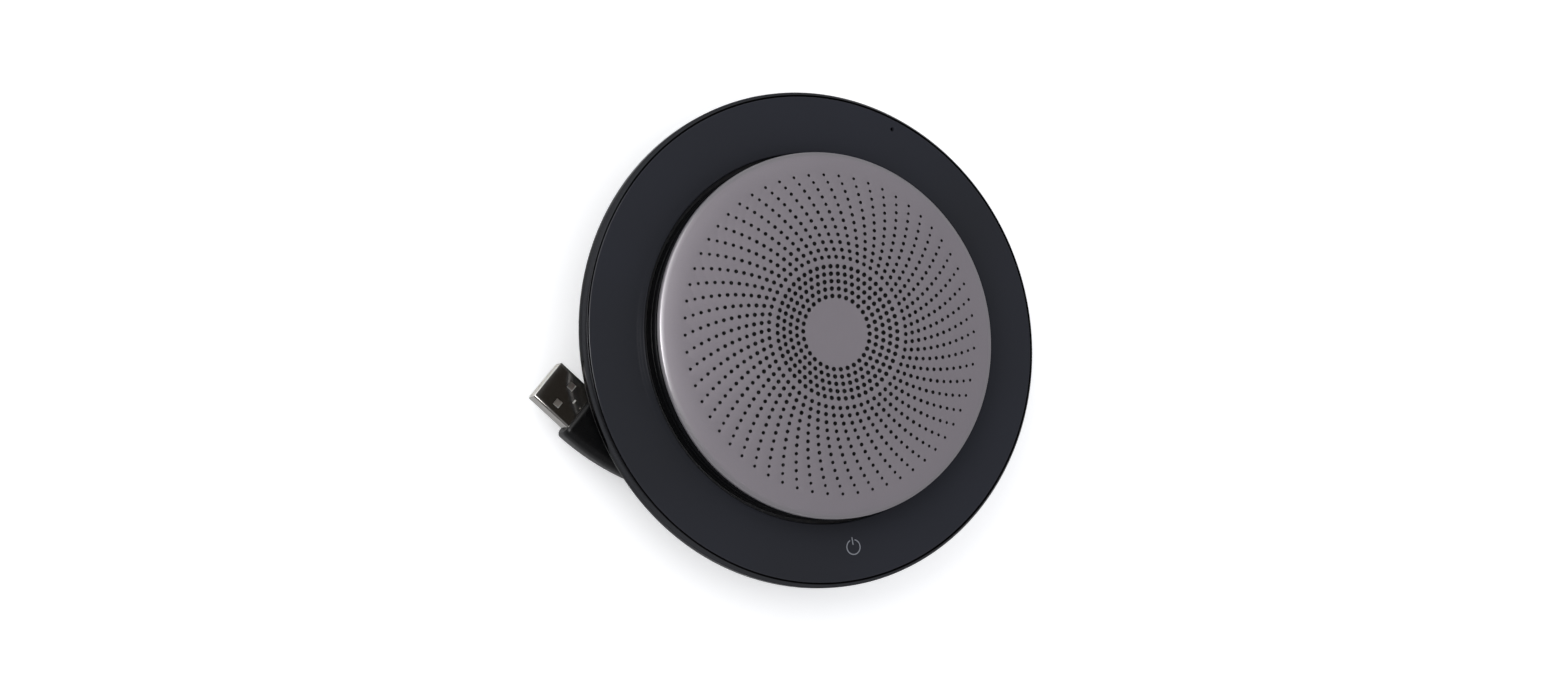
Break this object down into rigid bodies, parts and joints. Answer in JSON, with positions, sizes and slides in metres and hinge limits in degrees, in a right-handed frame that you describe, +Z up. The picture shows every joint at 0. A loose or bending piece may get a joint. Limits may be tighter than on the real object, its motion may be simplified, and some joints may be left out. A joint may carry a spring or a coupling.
{
  "type": "conference speakerphone",
  "caption": "Low round conference speakerphone: perforated metal grille, gloss touch ring, cable wound in a groove under the rim, USB plug and fold-out stand.",
  "frame": {"origin": "centre of the rubber foot's resting face, on the axis of the disc", "axes": "+Z up through the grille, -Y towards the user, where the power symbol is; +X to the user's right"},
  "size_m": [0.1446, 0.1324, 0.032],
  "materials": {
    "grille_metal": "satin powder coat",
    "black_cloth": "woven acoustic mesh",
    "gloss_black": "high gloss",
    "smoked_panel": "high gloss smoked panel",
    "trim_black": "gloss",
    "casing_black": "fine moulded texture",
    "inner_black": "matte",
    "foot_rubber": "matte",
    "cable_rubber": "satin",
    "steel": "nickel plated",
    "zinc_screw": "black zinc",
    "contact_gold": "gold plated",
    "tongue_white": "matte",
    "board_green": "solder mask",
    "chip_black": "matte",
    "header_white": "matte",
    "battery_foil": "satin foil",
    "grey_foam": "foam",
    "led_white": "clear resin",
    "ribbon_amber": "polyimide film",
    "copper": "enamelled copper",
    "magnet_nickel": "nickel plated",
    "basket_steel": "black passivated",
    "cone_paper": "pressed paper",
    "spider_cloth": "resin dipped cloth",
    "wire_red_black": "insulation"
  },
  "bodies": {
    "housing": {"grille": "grille_metal", "grille_cloth": "black_cloth", "collar": "gloss_black", "touch_ring": "smoked_panel", "trim_ring": "trim_black", "upper_chassis": "inner_black", "lower_casing": "casing_black", "base_plate": "casing_black", "foot_ring": "foot_rubber", "hinge_pins": "steel", "detent_springs": "steel", "usb_cable": "cable_rubber", "cable_grommet": "cable_rubber", "usb_loom": "wire_red_black", "main_board": "board_green", "shield_can": "steel", "board_chips": "chip_black", "board_connectors": "header_white", "battery": "battery_foil", "battery_foam": "grey_foam", "touch_sensor_board": "board_green", "ring_leds": "led_white", "microphone": "steel", "mic_gasket": "foot_rubber", "sensor_ribbon": "ribbon_amber", "speaker_chamber": "inner_black", "wire_grommet": "foot_rubber", "speaker_wires": "wire_red_black", "driver_basket": "basket_steel", "driver_yoke": "magnet_nickel", "driver_magnet": "magnet_nickel", "driver_top_plate": "magnet_nickel", "surround": "foot_rubber", "spider": "spider_cloth", "driver_gasket": "grey_foam", "base_screws": "zinc_screw", "board_screws": "zinc_screw", "chassis_screws": "zinc_screw", "chamber_screws": "zinc_screw", "driver_screws": "zinc_screw"},
    "diaphragm": {"speaker_cone": "cone_paper", "dust_cap": "cone_paper", "voice_coil": "copper"},
    "stand": {"stand_leg": "casing_black", "leg_pad": "foot_rubber"},
    "plug": {"plug_boot": "cable_rubber", "plug_shell": "steel", "plug_tongue": "tongue_white", "plug_contacts": "contact_gold", "cable_end": "cable_rubber"}
  },
  "joints": [
    {"name": "cone_travel", "type": "slide", "parent": "housing", "child": "diaphragm", "axis": [0, 0, 1], "range_m": [-0.0015, 0.0015], "stiffness_N_per_m": 1500, "deforming": ["surround", "spider"]},
    {"name": "stand_fold", "type": "hinge", "parent": "housing", "child": "stand", "pos_m": [0, 0.014, 0.0023], "axis": [-1, 0, 0], "range_deg": [0, 70]},
    {"name": "plug_swing", "type": "hinge", "parent": "housing", "child": "plug", "pos_m": [-0.03563, -0.03831, 0.0086], "axis": [0, 0, 1], "range_deg": [-14, 60]}
  ]
}
